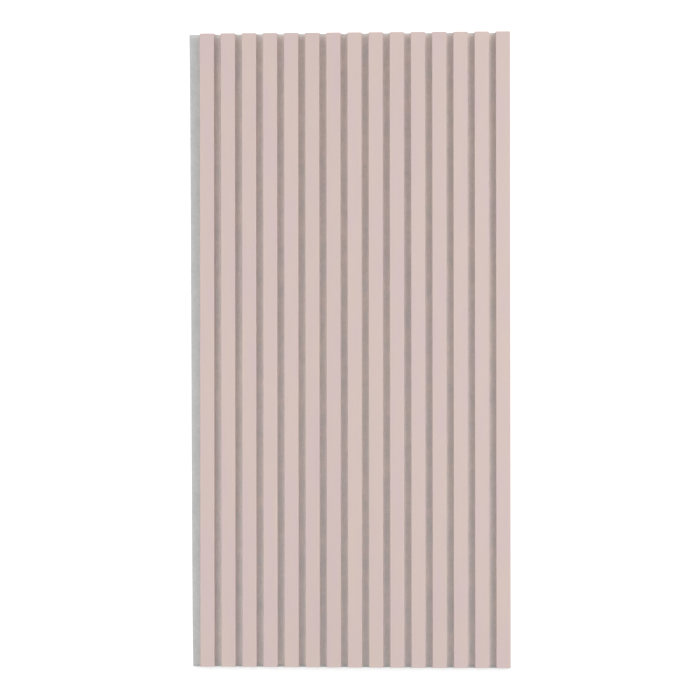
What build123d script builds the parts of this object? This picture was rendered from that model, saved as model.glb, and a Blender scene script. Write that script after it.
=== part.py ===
"""Slatted wall panel: a row of painted slats on one sheet of felt, lying flat with the slats on top.

Millimetres, +Z up. X runs across the slats, Y along them, and the origin is at the middle of
the underside. The felt reaches past the slats on the -X side only, and that free edge is cut a
little out of square, so the bare strip is wider at the +Y end.
"""

import os

from build123d import *

# Driving sizes
panel_length = 1200.0  # slats and felt alike
slat_count = 15
slat_width = 27.0
slat_gap = 13.0  # clear width between two slats
slat_thickness = 12.0
arris_radius = 1.0  # easing of the two long edges of a slat's face
felt_thickness = 9.0
felt_lip = 18.0  # bare strip of felt beside the first slat, at half the panel's length
lip_taper = 6.0  # how much wider the bare strip is at the +Y end than at the -Y end

# Derived places
slat_pitch = slat_width + slat_gap
field_width = slat_count * slat_pitch - slat_gap
lip_at_head = felt_lip + lip_taper / 2
lip_at_foot = felt_lip - lip_taper / 2
widest_lip = max(lip_at_head, lip_at_foot)
right_edge_x = (field_width + widest_lip) / 2
field_left_x = right_edge_x - field_width
half_length = panel_length / 2

os.makedirs("parts", exist_ok=True)

# Felt: a flat sheet, flush with the last slat and with both ends of the slats
with BuildPart() as felt:
    with BuildSketch(Plane.XY):
        with BuildLine():
            Polyline(
                (right_edge_x, -half_length),
                (right_edge_x, half_length),
                (field_left_x - lip_at_head, half_length),
                (field_left_x - lip_at_foot, -half_length),
                close=True,
            )
        make_face()
    extrude(amount=felt_thickness)
felt.part.label = "felt_backing"
export_step(felt.part, "parts/felt_backing.step")

# Slats: one bar each, seated on the felt, with both long edges of the face eased
for index in range(slat_count):
    slat_x = field_left_x + slat_width / 2 + index * slat_pitch
    section_plane = Plane(origin=(slat_x, 0, felt_thickness), x_dir=(1, 0, 0), z_dir=(0, -1, 0))
    with BuildPart() as slat:
        with BuildSketch(section_plane) as section:
            Rectangle(slat_width, slat_thickness, align=(Align.CENTER, Align.MIN))
            fillet(section.vertices().group_by(Axis.Y)[-1], radius=arris_radius)
        extrude(amount=half_length, both=True)
    slat.part.label = f"slat_{index + 1:02d}"
    export_step(slat.part, f"parts/{slat.part.label}.step")
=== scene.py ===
"""Slatted wall panel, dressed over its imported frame.

Laid out as an add-on and run as a script: it lays the felt board, sets the row of painted slats
on it and puts both on a white studio floor under soft light. Metres, +Z up, +Y along the slats.
"""

import math

import bpy
from bpy.props import FloatProperty, FloatVectorProperty, IntProperty, PointerProperty
from mathutils import Euler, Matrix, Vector


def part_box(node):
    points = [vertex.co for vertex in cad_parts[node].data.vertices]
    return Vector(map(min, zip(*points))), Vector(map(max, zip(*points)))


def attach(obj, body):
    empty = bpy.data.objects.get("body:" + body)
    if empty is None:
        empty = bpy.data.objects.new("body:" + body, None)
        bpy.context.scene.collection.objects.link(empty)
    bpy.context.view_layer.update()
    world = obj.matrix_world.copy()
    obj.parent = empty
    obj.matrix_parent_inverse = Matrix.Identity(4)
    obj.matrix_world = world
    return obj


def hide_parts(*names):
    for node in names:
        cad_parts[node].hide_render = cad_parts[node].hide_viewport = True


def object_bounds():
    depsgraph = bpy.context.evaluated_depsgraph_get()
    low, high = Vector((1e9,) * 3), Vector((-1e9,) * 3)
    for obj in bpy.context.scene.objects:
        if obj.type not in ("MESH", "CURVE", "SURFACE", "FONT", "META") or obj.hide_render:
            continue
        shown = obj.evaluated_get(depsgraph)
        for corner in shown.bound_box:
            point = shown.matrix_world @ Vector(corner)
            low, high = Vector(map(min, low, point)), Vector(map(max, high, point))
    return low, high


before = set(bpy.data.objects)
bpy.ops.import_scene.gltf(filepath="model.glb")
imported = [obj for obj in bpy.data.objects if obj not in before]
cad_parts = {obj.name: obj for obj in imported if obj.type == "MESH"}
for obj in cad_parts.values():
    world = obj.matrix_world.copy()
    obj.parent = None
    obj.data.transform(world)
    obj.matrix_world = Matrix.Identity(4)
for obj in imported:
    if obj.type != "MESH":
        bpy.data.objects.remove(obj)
cad_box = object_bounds()

bl_info = {
    "name": "Slatted wall panel",
    "version": (1, 0, 0),
    "blender": (4, 5, 0),
    "location": "3D View > Sidebar > Slat Panel",
    "description": "Builds a row of painted slats on a felt board, and the stage that shows it",
    "category": "Object",
}

BODY = "root"
FELT_NODE = "felt_backing"
SLAT_NODES = sorted(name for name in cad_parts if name.startswith("slat_"))
MM = 0.001

# Divisions of the felt's mesh
LIP_COLUMNS = 10  # across the bare strip
GAP_COLUMNS = 6  # across each gap
ROW_STEP = 4 * MM  # along the board, on average
LAYERS = 3  # through the thickness
END_CROWDING = 0.7  # how much closer the rows stand at the board's ends than on average
OUTER_FACE = 0.499  # a point this far from the middle of a unit cube is on its outer face

# Sizes of the felt's unevenness
HILL_SIZE = 9 * MM
WANDER_SIZE = 5 * MM  # of the ragged edge

# Divisions of a slat's mesh
ARRIS_POINTS = 6
MERGE_DISTANCE = 0.001 * MM

SENSOR_WIDTH = 36.0  # of the camera, in millimetres

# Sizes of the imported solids, which the settings start from
slat_low, slat_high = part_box(SLAT_NODES[0])
next_low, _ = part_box(SLAT_NODES[1])
felt_low, felt_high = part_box(FELT_NODE)
felt_corners = [vertex.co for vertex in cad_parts[FELT_NODE].data.vertices]
felt_foot_x = min(corner.x for corner in felt_corners if corner.y < 0)


class FeltSettings(bpy.types.PropertyGroup):
    """Sizes and colour of the felt board."""

    length: FloatProperty(
        name="Length", description="Length of the board along the slats",
        default=felt_high.y - felt_low.y, unit="LENGTH", subtype="DISTANCE")
    thickness: FloatProperty(
        name="Thickness", description="Thickness of the board",
        default=felt_high.z - felt_low.z, unit="LENGTH", subtype="DISTANCE")
    lip_head: FloatProperty(
        name="Lip at head", description="Bare strip beside the first slat at the +Y end",
        default=slat_low.x - felt_low.x, unit="LENGTH", subtype="DISTANCE")
    lip_foot: FloatProperty(
        name="Lip at foot", description="Bare strip beside the first slat at the -Y end",
        default=slat_low.x - felt_foot_x, unit="LENGTH", subtype="DISTANCE")
    crown: FloatProperty(
        name="Crown", description="How far the felt swells up between two slats",
        default=0.25 * MM, unit="LENGTH", subtype="DISTANCE")
    relief: FloatProperty(
        name="Relief", description="Height of the uneven pressed surface",
        default=0.3 * MM, unit="LENGTH", subtype="DISTANCE")
    ragged: FloatProperty(
        name="Ragged edge", description="How far the cut edges wander outwards",
        default=0.3 * MM, unit="LENGTH", subtype="DISTANCE")
    edge_fall: FloatProperty(
        name="Edge fall", description="How far the free felt rounds down at its cut edges",
        default=1.3 * MM, unit="LENGTH", subtype="DISTANCE")
    edge_width: FloatProperty(
        name="Edge width", description="How far in from a cut edge the rounding starts",
        default=9 * MM, unit="LENGTH", subtype="DISTANCE")
    head_ease: FloatProperty(
        name="Head ease", description="How much softer the rounding is at the head than halfway",
        default=0.42, subtype="FACTOR")
    rim: FloatProperty(
        name="Soft rim", description="Rounding of the board's cut edges",
        default=0.4 * MM, unit="LENGTH", subtype="DISTANCE")
    colour: FloatVectorProperty(
        name="Felt", description="Mean colour of the felt",
        default=(0.602, 0.609, 0.601), min=0, max=1, subtype="COLOR")
    mottling: FloatProperty(
        name="Mottling", description="Contrast of the felt's clouds and blotches",
        default=0.2, subtype="FACTOR")
    # Painted bounce light: a pink tint of the felt between the slats stands in for light thrown back
    # by the painted slats, and fades out at the cut ends
    cast: FloatVectorProperty(
        name="Paint cast", description="Tint of the felt between the slats under thick paint mist",
        default=(1.32, 1.096, 1.038), min=0, max=2, subtype="XYZ")
    painted_bounce_fade: FloatProperty(
        name="Cast fade", description="Length over which the paint cast fades at the cut ends",
        default=7 * MM, unit="LENGTH", subtype="DISTANCE")
    cut_shift: FloatProperty(
        name="Cut shift", description="How far both cut ends lie off the slats' ends, to the foot",
        default=0.7 * MM, unit="LENGTH", subtype="DISTANCE")
    seed: IntProperty(name="Seed", description="Seed of the felt's uneven surface", default=7)


class SlatSettings(bpy.types.PropertyGroup):
    """Sizes and paint of the slats."""

    count: IntProperty(
        name="Count", description="Number of slats side by side", default=len(SLAT_NODES), min=1)
    width: FloatProperty(
        name="Width", description="Width of a slat's face",
        default=slat_high.x - slat_low.x, unit="LENGTH", subtype="DISTANCE")
    thickness: FloatProperty(
        name="Thickness", description="Height of a slat above the felt",
        default=slat_high.z - slat_low.z, unit="LENGTH", subtype="DISTANCE")
    length: FloatProperty(
        name="Length", description="Length of a slat",
        default=slat_high.y - slat_low.y, unit="LENGTH", subtype="DISTANCE")
    pitch: FloatProperty(
        name="Pitch", description="Distance from one slat to the next",
        default=next_low.x - slat_low.x, unit="LENGTH", subtype="DISTANCE")
    arris: FloatProperty(
        name="Arris", description="Easing of the two long edges of the face",
        default=1.0 * MM, unit="LENGTH", subtype="DISTANCE")
    end_arris: FloatProperty(
        name="End arris", description="Easing of the sawn ends",
        default=0.4 * MM, unit="LENGTH", subtype="DISTANCE")
    paint: FloatVectorProperty(
        name="Paint", description="Mean colour of the paint",
        default=(0.677, 0.545, 0.517), min=0, max=1, subtype="COLOR")
    seed: IntProperty(name="Seed", description="Seed of the tone of each slat", default=3)


class StageSettings(bpy.types.PropertyGroup):
    """Camera, light and floor."""

    distance: FloatProperty(
        name="Camera distance", description="From the camera to the slats' faces",
        default=4.5, unit="LENGTH", subtype="DISTANCE")
    lens: FloatProperty(
        name="Lens", description="Focal length on a 36 mm sensor", default=122.52, unit="CAMERA")
    aim: FloatVectorProperty(
        name="Aim", description="Point at the middle of the picture",
        default=(0.0015, -0.0002, cad_box[1][2]), subtype="XYZ", unit="LENGTH")
    turn: FloatVectorProperty(
        name="Turn", description="Pitch, yaw and roll of the camera from straight down",
        default=(math.radians(-0.04), math.radians(2.7), math.radians(-0.06)),
        subtype="EULER", unit="ROTATION")
    ambient: FloatProperty(
        name="Ambient", description="Brightness of the soft light from straight above", default=0.52)
    from_head: FloatProperty(
        name="From head", description="How strongly the soft light gathers at the +Y side",
        default=2.0)
    side_power: FloatProperty(
        name="Side strips", description="Power of the left strip lamp", default=5.9, unit="POWER")
    right_share: FloatProperty(
        name="Right share", description="Power of the right strip lamp over the left one's",
        default=1.7, subtype="FACTOR")
    strip_length: FloatProperty(
        name="Strip length", description="Length of a strip lamp, along the slats",
        default=3.0, unit="LENGTH", subtype="DISTANCE")
    strip_width: FloatProperty(
        name="Strip width", description="Width of a strip lamp",
        default=0.32, unit="LENGTH", subtype="DISTANCE")
    left_strip: FloatVectorProperty(
        name="Left strip", description="Place of the left strip lamp",
        default=(-0.95, -0.15, 1.05), subtype="XYZ", unit="LENGTH")
    right_strip: FloatVectorProperty(
        name="Right strip", description="Place of the right strip lamp",
        default=(1.1, 0.35, 1.0), subtype="XYZ", unit="LENGTH")
    floor_size: FloatProperty(
        name="Floor", description="Side of the square floor",
        default=60.0, unit="LENGTH", subtype="DISTANCE")
    floor_colour: FloatVectorProperty(
        name="Floor colour", description="Colour of the floor",
        default=(0.8, 0.8, 0.8), min=0, max=1, subtype="COLOR")
    floor_lift: FloatProperty(
        name="Floor lift", description="White added to the floor where it is looked at",
        default=0.55, subtype="FACTOR")


class Socket:
    """A node's output. Arithmetic on it adds Math nodes to its tree."""

    def __init__(self, net, link):
        self.net = net
        self.link = link

    def math(self, operation, first, *others):
        """A Math node on one or two values."""
        return self.net.add("ShaderNodeMath", {"operation": operation},
                            dict(enumerate((first, *others))))

    def __add__(self, other):
        return self.math("ADD", self, other)

    def __radd__(self, other):
        return self.math("ADD", other, self)

    def __sub__(self, other):
        return self.math("SUBTRACT", self, other)

    def __rsub__(self, other):
        return self.math("SUBTRACT", other, self)

    def __mul__(self, other):
        return self.math("MULTIPLY", self, other)

    def __rmul__(self, other):
        return self.math("MULTIPLY", other, self)

    def __truediv__(self, other):
        return self.math("DIVIDE", self, other)

    def __rtruediv__(self, other):
        return self.math("DIVIDE", other, self)

    def __pow__(self, other):
        return self.math("POWER", self, other)

    def __abs__(self):
        return self.math("ABSOLUTE", self)

    def __gt__(self, other):
        return self.math("GREATER_THAN", self, other)

    def __lt__(self, other):
        return self.math("LESS_THAN", self, other)

    def floor(self):
        return self.math("FLOOR", self)

    def sine(self):
        return self.math("SINE", self)

    def least(self, other):
        return self.math("MINIMUM", self, other)

    def most(self, other):
        return self.math("MAXIMUM", self, other)

    def other(self, name):
        """Another output of the same node."""
        return Socket(self.net, self.link.node.outputs[name])


class Net:
    """A node tree under construction."""

    def __init__(self, tree):
        self.tree = tree

    def add(self, kind, settings=None, sockets=None, out=0):
        """Adds a node, sets it up, fills its sockets with values or links, and gives an output."""
        node = self.tree.nodes.new(kind)
        for name, value in (settings or {}).items():
            setattr(node, name, value)
        for key, value in (sockets or {}).items():
            for each in value if isinstance(value, list) else [value]:
                if isinstance(each, Socket):
                    self.tree.links.new(each.link, node.inputs[key])
                else:
                    node.inputs[key].default_value = each
        return Socket(self, node.outputs[out]) if node.outputs else node

    def xyz(self, x, y, z):
        """A vector of three values."""
        return self.add("ShaderNodeCombineXYZ", None, {0: x, 1: y, 2: z})

    def parts(self, vector):
        """The three values of a vector."""
        split = self.add("ShaderNodeSeparateXYZ", None, {0: vector})
        return split, split.other("Y"), split.other("Z")

    def looked_at(self):
        """1 where a surface is looked at, straight or in a mirror or through glass, else 0."""
        path = self.add("ShaderNodeLightPath", out="Is Camera Ray")
        return path.most(path.other("Is Glossy Ray")).most(path.other("Is Transmission Ray"))

    def noise(self, place, size, detail=2.0, stretch=(1, 1, 1), turn=0.0, shift=0.0):
        """Noise from 0 to 1 whose features are about the given size, longer where stretched."""
        scale = tuple(1 / (size * factor) for factor in stretch)
        turned = self.add("ShaderNodeVectorRotate", {"rotation_type": "Z_AXIS"},
                          {"Vector": place, "Angle": turn})
        mapped = self.add("ShaderNodeVectorMath", {"operation": "MULTIPLY_ADD"},
                          {0: turned, 1: scale, 2: (shift, shift, shift)})
        return self.add("ShaderNodeTexNoise", None,
                        {"Vector": mapped, "Scale": 1.0, "Detail": detail, "Roughness": 0.55})

    def mix(self, factor, first, second, blend="MIX"):
        """A colour between two colours, or another blend of them."""
        # The node has sockets for every kind of data, and these are the ones for colours
        return self.add("ShaderNodeMix", {"data_type": "RGBA", "blend_type": blend},
                        {0: factor, 6: first, 7: second}, out=2)

    def tinted(self, factor, colour, tint):
        """A colour times another one, as far as the factor says."""
        return self.mix(factor, colour, tint, "MULTIPLY")

    def dim(self, colour, factor):
        """A colour times a number."""
        return self.add("ShaderNodeVectorMath", {"operation": "SCALE"},
                        {0: colour, "Scale": factor})


def new_material(name):
    """An empty node material and the net that fills it."""
    material = bpy.data.materials.new(name)
    material.use_nodes = True
    material.node_tree.nodes.clear()
    return material, Net(material.node_tree)


def felt_finish(settings):
    """Pressed grey felt: mottled, with pale and dark fibres lying every way."""
    cloud_size, blotch_size, grain_size, fibre_width = 22 * MM, 6 * MM, 1.3 * MM, 0.9 * MM
    fibre_layers = ((0.3, 1.0), (1.25, 5.0), (2.3, 11.0))  # turn and shift of each layer
    mean_fibres = 0.9  # taken off the fibres, so that they leave the mean shade as it is
    graininess, fibre_contrast = 0.14, 0.06
    darkening_to_head, painted_shade_in_gaps = 0.02, 0.1  # darker for each metre towards the head, and more so between the slats as painted shade
    darkening_start = -0.23  # from the foot to here the shade is even
    bounce_patch_size, bounce_patch_contrast = 26 * MM, 0.9
    bounce_rise = 0.27  # how much more of the painted bounce tint lies for each metre towards the head
    cool, warm = (0.98, 1.0, 1.01, 1), (1.02, 1.0, 0.99, 1)
    material, net = new_material("heathered_grey_felt")
    place = net.add("ShaderNodeTexCoord", out="Object")
    across, along, _ = net.parts(place)
    _, _, facing_up = net.parts(net.add("ShaderNodeTexCoord", out="Normal"))
    # Painted pink bounce light from the slats lies unevenly between them, grows towards the head and
    # fades out at the cut ends
    from_end = (settings.length / 2 - abs(along)) / settings.painted_bounce_fade
    between_slats = (across > slat_low.x) * (facing_up > 0.5) * from_end.least(1.0).most(0.0)
    patchy = net.noise(place, bounce_patch_size, 2.0, shift=13.0)
    painted_bounce = 0.5 + (patchy - 0.5) * bounce_patch_contrast + along * bounce_rise
    cloudy = net.noise(place, cloud_size, 2.0, stretch=(1, 1.6, 1))
    blotchy = net.noise(place, blotch_size, 3.0, shift=4.0)
    grainy = net.noise(place, grain_size, 2.0, shift=9.0)
    fibres = 0.0
    for turn, shift in fibre_layers:
        strands = net.noise(place, fibre_width, 1.0, stretch=(1, 11, 1), turn=turn, shift=shift)
        fibres = fibres + (1 - abs(strands * 2 - 1)) ** 6
    # The felt grows darker towards the head; between the slats the extra darkening is painted shade
    shade = (1 + (cloudy - 0.5 + blotchy - 0.5) * settings.mottling
             + (grainy - 0.5) * graininess + (fibres - mean_fibres) * fibre_contrast
             - along.most(darkening_start) * (darkening_to_head + between_slats * painted_shade_in_gaps))
    grey = net.tinted(1.0, (*settings.colour, 1), net.mix(cloudy, cool, warm))
    # Painted bounce light: the felt between the slats is tinted pink, as if lit by light thrown back
    # from the slats
    base = net.tinted(between_slats * painted_bounce, grey, (*settings.cast, 1))
    height = fibres * 0.5 + grainy * 0.6 + blotchy * 0.5
    bump = net.add("ShaderNodeBump", None,
                   {"Strength": 0.55, "Distance": 0.35 * MM, "Height": height})
    surface = net.add("ShaderNodeBsdfPrincipled", None, {
        "Base Color": net.dim(base, shade), "Roughness": 0.97 - fibres * 0.04,
        "Specular IOR Level": 0.12, "Sheen Weight": 0.06, "Sheen Roughness": 0.6, "Normal": bump})
    net.add("ShaderNodeOutputMaterial", None, {"Surface": surface})
    return material


def paint_finish(settings):
    """Matte sprayed paint on fibre board, rougher where the sawn ends drank it in."""
    drift_size, cloud_size = 45 * MM, 30 * MM
    peel_size, speck_size, pore_size = 2.4 * MM, 0.8 * MM, 0.6 * MM
    slat_contrast, cloud_contrast, speck_contrast, pore_contrast = 0.008, 0.03, 0.02, 0.12
    end_darkening = 0.05
    material, net = new_material("matte_blush_paint")
    place = net.add("ShaderNodeTexCoord", out="Object")
    facing = net.add("ShaderNodeTexCoord", out="Normal")
    _, end_on, _ = net.parts(facing)
    tone = net.add("ShaderNodeAttribute", {"attribute_name": "tone"}, out="Fac")
    ends = abs(end_on) > 0.75
    drift = net.noise(place, drift_size, 2.0, stretch=(0.5, 2.5, 1))
    cloudy = net.noise(place, cloud_size, 3.0, stretch=(0.6, 2.0, 1), shift=6.0)
    speck = net.noise(place, speck_size, 2.0, shift=3.0)
    peel = net.noise(place, peel_size, 1.0, shift=8.0)
    pores = net.noise(place, pore_size, 3.0, stretch=(2.5, 1, 1), shift=2.0)
    # The tint drifts slowly between a cooler and a warmer pink
    red, green, blue = settings.paint
    cool = (red * 0.995, green * 0.985, blue * 1.02, 1)
    warm = (red * 1.005, green * 1.015, blue * 0.98, 1)
    swing = net.add("ShaderNodeMapRange", None, {
        "Value": drift, "From Min": 0.35, "From Max": 0.65})
    shade = (1 + tone * slat_contrast + (cloudy - 0.5) * cloud_contrast
             + (speck - 0.5) * speck_contrast
             - ends * (end_darkening + (pores - 0.5) * pore_contrast))
    height = peel * 0.6 + speck * 0.15 + ends * pores * 2.5
    bump = net.add("ShaderNodeBump", None,
                   {"Strength": 0.25, "Distance": 0.08 * MM, "Height": height})
    surface = net.add("ShaderNodeBsdfPrincipled", None, {
        "Base Color": net.dim(net.mix(swing, cool, warm), shade),
        "Roughness": 0.6 + (cloudy - 0.5) * 0.1 + ends * 0.2,
        "Specular IOR Level": 0.25, "Normal": bump})
    net.add("ShaderNodeOutputMaterial", None, {"Surface": surface})
    return material


def floor_finish(stage):
    """Pale floor that shows as white and still takes a shadow."""
    material, net = new_material("white_studio_floor")
    matte = net.add("ShaderNodeBsdfDiffuse", None, {"Color": (*stage.floor_colour, 1)})
    lift = net.add("ShaderNodeEmission", None,
                   {"Color": (1, 1, 1, 1), "Strength": stage.floor_lift})
    lifted = net.add("ShaderNodeAddShader", None, {0: matte, 1: lift})
    surface = net.add("ShaderNodeMixShader", None, {0: net.looked_at(), 1: matte, 2: lifted})
    net.add("ShaderNodeOutputMaterial", None, {"Surface": surface})
    return material


def new_tree(name, inputs):
    """A Geometry Nodes tree with named inputs: its net, and the input sockets by name."""
    tree = bpy.data.node_groups.new(name, "GeometryNodeTree")
    tree.interface.new_socket("Geometry", in_out="OUTPUT", socket_type="NodeSocketGeometry")
    for label, kind in inputs.items():
        tree.interface.new_socket(label, in_out="INPUT", socket_type="NodeSocket" + kind)
    net = Net(tree)
    entry = net.add("NodeGroupInput")
    return net, {label: entry.other(label) for label in inputs}


def close_tree(net, geometry, material):
    """Ends a tree in real geometry with its material."""
    real = net.add("GeometryNodeRealizeInstances", None, {"Geometry": geometry})
    smooth = net.add("GeometryNodeSetShadeSmooth", None, {"Geometry": real, "Shade Smooth": True})
    painted = net.add("GeometryNodeSetMaterial", None, {"Geometry": smooth, "Material": material})
    net.add("NodeGroupOutput", None, {0: painted})
    return net.tree


def slat_row_tree():
    """One slat from its eased section, repeated along the row."""
    net, given = new_tree("slat_row", {
        "Count": "Int", "Width": "Float", "Thickness": "Float", "Length": "Float", "Pitch": "Float",
        "Arris": "Float", "First Slat": "Vector", "Seed": "Int", "Material": "Material"})
    outline = net.add("GeometryNodeCurvePrimitiveQuadrilateral", {"mode": "RECTANGLE"},
                      {"Width": given["Width"], "Height": given["Thickness"]})
    _, up, _ = net.parts(net.add("GeometryNodeInputPosition"))
    eased = net.add("GeometryNodeFilletCurve", {"mode": "POLY"}, {
        "Curve": outline, "Count": ARRIS_POINTS, "Radius": given["Arris"] * (up > 0)})
    section = net.add("GeometryNodeFillCurve", {"mode": "NGONS"}, {"Curve": eased})
    bar = net.add("GeometryNodeExtrudeMesh", {"mode": "FACES"}, {
        "Mesh": section, "Offset": net.xyz(0, 0, 1), "Offset Scale": given["Length"],
        "Individual": False})
    near_end = net.add("GeometryNodeFlipFaces", None, {"Mesh": section})
    closed = net.add("GeometryNodeMergeByDistance", None, {
        "Geometry": net.add("GeometryNodeJoinGeometry", None, {0: [bar, near_end]}),
        "Distance": MERGE_DISTANCE})
    lying = net.add("GeometryNodeTransform", None, {
        "Geometry": closed, "Rotation": Euler((math.pi / 2, 0, 0)),
        "Translation": net.xyz(0, given["Length"] / 2, given["Thickness"] / 2)})
    seats = net.add("GeometryNodeMeshLine", {"mode": "OFFSET", "count_mode": "TOTAL"}, {
        "Count": given["Count"], "Start Location": given["First Slat"],
        "Offset": net.xyz(given["Pitch"], 0, 0)})
    row = net.add("GeometryNodeInstanceOnPoints", None, {"Points": seats, "Instance": lying})
    # The node has sockets for every kind of data, and these are the ones for single numbers
    tone = net.add("FunctionNodeRandomValue", {"data_type": "FLOAT"},
                   {2: -1.0, 3: 1.0, "Seed": given["Seed"]}, out=1)
    toned = net.add("GeometryNodeStoreNamedAttribute", {"data_type": "FLOAT", "domain": "INSTANCE"},
                    {"Geometry": row, "Name": "tone", "Value": tone})
    return close_tree(net, toned, given["Material"])


def felt_board_tree():
    """A closed board whose columns follow the slats, swollen between them and ragged at its edges."""
    net, given = new_tree("felt_board", {
        "Columns": "Int", "Rows": "Int", "Length": "Float", "Thickness": "Float",
        "Lip Head": "Float", "Lip Foot": "Float", "Field Left": "Float", "Slat Width": "Float",
        "Pitch": "Float", "Crown": "Float", "Relief": "Float", "Edge Fall": "Float",
        "Edge Width": "Float", "Head Ease": "Float", "Ragged": "Float", "Cut Shift": "Float",
        "Seed": "Float", "Material": "Material"})
    board = net.add("GeometryNodeMeshCube", None, {
        "Size": (1, 1, 1), "Vertices X": given["Columns"] + 1, "Vertices Y": given["Rows"] + 1,
        "Vertices Z": LAYERS + 1})
    across, along, up = net.parts(net.add("GeometryNodeInputPosition"))
    column = ((across + 0.5) * given["Columns"] + 0.5).floor()
    # On the bare strip the columns divide the strip, which narrows towards the foot
    lip = given["Lip Foot"] + (given["Lip Head"] - given["Lip Foot"]) * (along + 0.5)
    on_lip = column < LIP_COLUMNS
    share = (column / LIP_COLUMNS).least(1.0)
    strip_x = given["Field Left"] - lip * (1 - share)
    # Beyond it one column lies under each slat and the rest divide each gap
    place_in_row = (column - LIP_COLUMNS).most(0.0)
    slat = (place_in_row / (GAP_COLUMNS + 1)).floor()
    step = place_in_row - slat * (GAP_COLUMNS + 1)
    into_gap = ((step - 1) / GAP_COLUMNS).most(0.0)
    gap = given["Pitch"] - given["Slat Width"]
    row_x = (given["Field Left"] + slat * given["Pitch"]
             + (step > 0.5) * (given["Slat Width"] + into_gap * gap))
    x = on_lip * strip_x + (1 - on_lip) * row_x
    # Rows stand closer together towards the two cut ends
    turn = along * math.tau
    y = given["Length"] * (along + turn.sine() * (END_CROWDING / math.tau))
    z = (up + 0.5) * given["Thickness"]
    spot = net.add("ShaderNodeVectorMath", {"operation": "ADD"},
                   {0: net.xyz(x, y, z), 1: net.xyz(given["Seed"], given["Seed"], 0)})
    uneven = net.noise(spot, HILL_SIZE, 2.0)
    wander = net.noise(spot, WANDER_SIZE, 3.0, shift=4.0)
    on_top = up > OUTER_FACE
    # Felt under a slat is pressed flat, and free felt swells, fully so a quarter of the way in
    free_lip = on_lip * ((1 - share) * 4).least(1.0)
    free_gap = (into_gap * (1 - into_gap) * 5).least(1.0)
    free = free_lip.most(free_gap) * on_top
    swell = given["Crown"] + (uneven - 0.5) * given["Relief"] * 2
    z = z + free * swell
    # Free felt rounds down to its cut edges, more softly towards the head
    ease = 1 + along * 2 * given["Head Ease"]
    from_end = given["Length"] / 2 - abs(y)
    from_side = x - given["Field Left"] + lip
    near_edge = (1 - from_end.least(from_side) / (given["Edge Width"] * ease)).most(0.0)
    z = z - free.most(on_lip * on_top) * given["Edge Fall"] * ease * near_edge ** 2
    # The cut edges are ragged, and the two ends lie a little towards the foot
    at_left, at_right = across < -OUTER_FACE, across > OUTER_FACE
    at_foot, at_head = along < -OUTER_FACE, along > OUTER_FACE
    outward = wander * given["Ragged"]
    x = x + outward * (at_right - at_left)
    y = y + outward * (at_head - at_foot) - given["Cut Shift"] * (at_head + at_foot)
    shaped = net.add("GeometryNodeSetPosition", None,
                     {"Geometry": board, "Position": net.xyz(x, y, z)})
    return close_tree(net, shaped, given["Material"])


def build_piece(name, tree, values, modifiers):
    """Evaluates a tree and the modifiers after it, and keeps the result as a plain mesh."""
    piece = bpy.data.objects.new(name, bpy.data.meshes.new(name + "_start"))
    bpy.context.scene.collection.objects.link(piece)
    maker = piece.modifiers.new(tree.name, "NODES")
    maker.node_group = tree
    for label, value in values.items():
        maker[tree.interface.items_tree[label].identifier] = value
    for kind, settings in modifiers.items():
        modifier = piece.modifiers.new(kind.lower(), kind)
        for key, value in settings.items():
            setattr(modifier, key, value)
    depsgraph = bpy.context.evaluated_depsgraph_get()
    mesh = bpy.data.meshes.new_from_object(
        piece.evaluated_get(depsgraph), preserve_all_data_layers=True, depsgraph=depsgraph)
    if not mesh.polygons:
        raise RuntimeError(f"{name} came out empty")
    start = piece.data
    piece.modifiers.clear()
    piece.data = mesh
    bpy.data.meshes.remove(start)
    mesh.name = name
    return piece


class SLATPANEL_OT_lay_felt_board(bpy.types.Operator):
    """Lay the felt board that carries the slats"""

    bl_idname = "slat_panel.lay_felt_board"
    bl_label = "Lay felt board"

    def execute(self, context):
        felt = context.scene.slat_panel_felt
        slats = context.scene.slat_panel_slats
        columns = LIP_COLUMNS + 1 + (slats.count - 1) * (GAP_COLUMNS + 1)
        piece = build_piece("felt_board", felt_board_tree(), {
            "Columns": columns, "Rows": round(felt.length / ROW_STEP), "Length": felt.length,
            "Thickness": felt.thickness, "Lip Head": felt.lip_head, "Lip Foot": felt.lip_foot,
            "Field Left": slat_low.x, "Slat Width": slats.width, "Pitch": slats.pitch,
            "Crown": felt.crown, "Relief": felt.relief, "Edge Fall": felt.edge_fall,
            "Edge Width": felt.edge_width, "Head Ease": felt.head_ease, "Ragged": felt.ragged,
            "Cut Shift": felt.cut_shift, "Seed": float(felt.seed), "Material": felt_finish(felt),
        }, {"BEVEL": {"width": felt.rim, "segments": 2, "limit_method": "ANGLE",
                      "angle_limit": math.radians(40)}})
        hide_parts(FELT_NODE)
        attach(piece, BODY)
        return {"FINISHED"}


class SLATPANEL_OT_set_slat_row(bpy.types.Operator):
    """Set the row of painted slats on the felt"""

    bl_idname = "slat_panel.set_slat_row"
    bl_label = "Set slat row"

    def execute(self, context):
        slats = context.scene.slat_panel_slats
        first = Vector((slat_low.x + slats.width / 2, 0, slat_low.z))
        piece = build_piece("slat_row", slat_row_tree(), {
            "Count": slats.count, "Width": slats.width, "Thickness": slats.thickness,
            "Length": slats.length, "Pitch": slats.pitch, "Arris": slats.arris,
            "First Slat": first, "Seed": slats.seed, "Material": paint_finish(slats),
        }, {"BEVEL": {"width": slats.end_arris, "segments": 2, "limit_method": "ANGLE",
                      "angle_limit": math.radians(60)},
            "WEIGHTED_NORMAL": {"mode": "FACE_AREA", "weight": 50}})
        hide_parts(*SLAT_NODES)
        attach(piece, BODY)
        return {"FINISHED"}


def studio_floor(stage):
    """A wide pale floor under the panel."""
    half = stage.floor_size / 2
    mesh = bpy.data.meshes.new("studio_floor")
    mesh.from_pydata([(-half, -half, 0), (half, -half, 0), (half, half, 0), (-half, half, 0)],
                     [], [(0, 1, 2, 3)])
    mesh.materials.append(floor_finish(stage))
    floor = bpy.data.objects.new("studio_floor", mesh)
    bpy.context.scene.collection.objects.link(floor)


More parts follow.
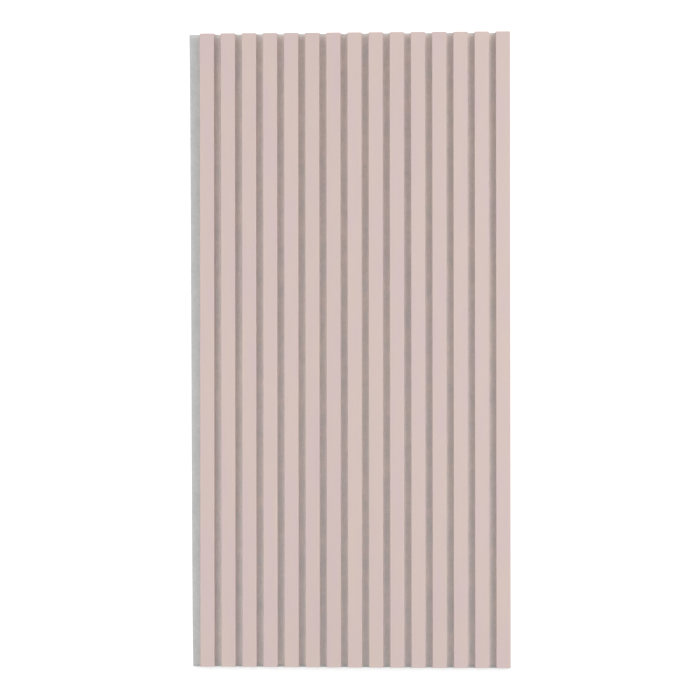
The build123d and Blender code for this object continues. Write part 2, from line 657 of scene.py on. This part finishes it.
def soft_sky(stage):
    """White where it is looked at, and otherwise soft light that gathers at the +Y side."""
    world = bpy.data.worlds.new("soft_studio")
    world.use_nodes = True
    world.node_tree.nodes.clear()
    net = Net(world.node_tree)
    _, towards_head, _ = net.parts(net.add("ShaderNodeTexCoord", out="Generated"))
    light = stage.ambient * (1 + towards_head).most(0.0) ** stage.from_head
    seen = net.looked_at()
    sky = net.add("ShaderNodeBackground", None, {
        "Color": (1, 1, 1, 1), "Strength": seen + (1 - seen) * light})
    net.add("ShaderNodeOutputWorld", None, {"Surface": sky})
    bpy.context.scene.world = world


def strip_lamp(name, power, stage, place):
    """A long soft lamp beside the panel, parallel to the slats, that isn't seen itself."""
    data = bpy.data.lights.new(name, "AREA")
    data.energy = power
    data.shape = "RECTANGLE"
    data.size, data.size_y = stage.strip_length, stage.strip_width
    lamp = bpy.data.objects.new(name, data)
    lamp.location = place
    lamp.rotation_euler = Vector((-place[0], 0, -place[2])).to_track_quat("-Z", "Y").to_euler()
    lamp.visible_camera = False
    bpy.context.scene.collection.objects.link(lamp)


def front_camera(stage):
    """A camera that looks straight down on the face, turned a little to one side."""
    data = bpy.data.cameras.new("front_camera")
    data.lens = stage.lens
    data.sensor_width = SENSOR_WIDTH
    data.clip_end = 200.0
    camera = bpy.data.objects.new("front_camera", data)
    turn = Euler(stage.turn, "ZYX").to_matrix()
    camera.location = Vector(stage.aim) + turn @ Vector((0, 0, stage.distance))
    camera.rotation_euler = turn.to_euler()
    bpy.context.scene.collection.objects.link(camera)
    bpy.context.scene.camera = camera


class SLATPANEL_OT_set_stage(bpy.types.Operator):
    """Put the panel on a white floor, under soft light and in front of the camera"""

    bl_idname = "slat_panel.set_stage"
    bl_label = "Set stage"

    def execute(self, context):
        stage = context.scene.slat_panel_stage
        studio_floor(stage)
        soft_sky(stage)
        strip_lamp("left_strip", stage.side_power, stage, stage.left_strip)
        strip_lamp("right_strip", stage.side_power * stage.right_share, stage, stage.right_strip)
        front_camera(stage)
        context.scene.view_settings.view_transform = "Standard"
        return {"FINISHED"}


class SLATPANEL_PT_sidebar(bpy.types.Panel):
    """Lists the panel's settings and the steps that build it"""

    bl_label = "Slat Panel"
    bl_space_type = "VIEW_3D"
    bl_region_type = "UI"
    bl_category = "Slat Panel"

    def draw(self, context):
        steps = (
            (SLATPANEL_OT_lay_felt_board, context.scene.slat_panel_felt),
            (SLATPANEL_OT_set_slat_row, context.scene.slat_panel_slats),
            (SLATPANEL_OT_set_stage, context.scene.slat_panel_stage),
        )
        for step, settings in steps:
            box = self.layout.box()
            for name in settings.__annotations__:
                box.prop(settings, name)
            box.operator(step.bl_idname)


CLASSES = (
    FeltSettings,
    SlatSettings,
    StageSettings,
    SLATPANEL_OT_lay_felt_board,
    SLATPANEL_OT_set_slat_row,
    SLATPANEL_OT_set_stage,
    SLATPANEL_PT_sidebar,
)


def register():
    for each in CLASSES:
        bpy.utils.register_class(each)
    bpy.types.Scene.slat_panel_felt = PointerProperty(type=FeltSettings)
    bpy.types.Scene.slat_panel_slats = PointerProperty(type=SlatSettings)
    bpy.types.Scene.slat_panel_stage = PointerProperty(type=StageSettings)


def unregister():
    del bpy.types.Scene.slat_panel_stage
    del bpy.types.Scene.slat_panel_slats
    del bpy.types.Scene.slat_panel_felt
    for each in reversed(CLASSES):
        bpy.utils.unregister_class(each)


def main():
    register()
    bpy.ops.slat_panel.lay_felt_board()
    bpy.ops.slat_panel.set_slat_row()
    bpy.ops.slat_panel.set_stage()


if __name__ == "__main__":
    main()
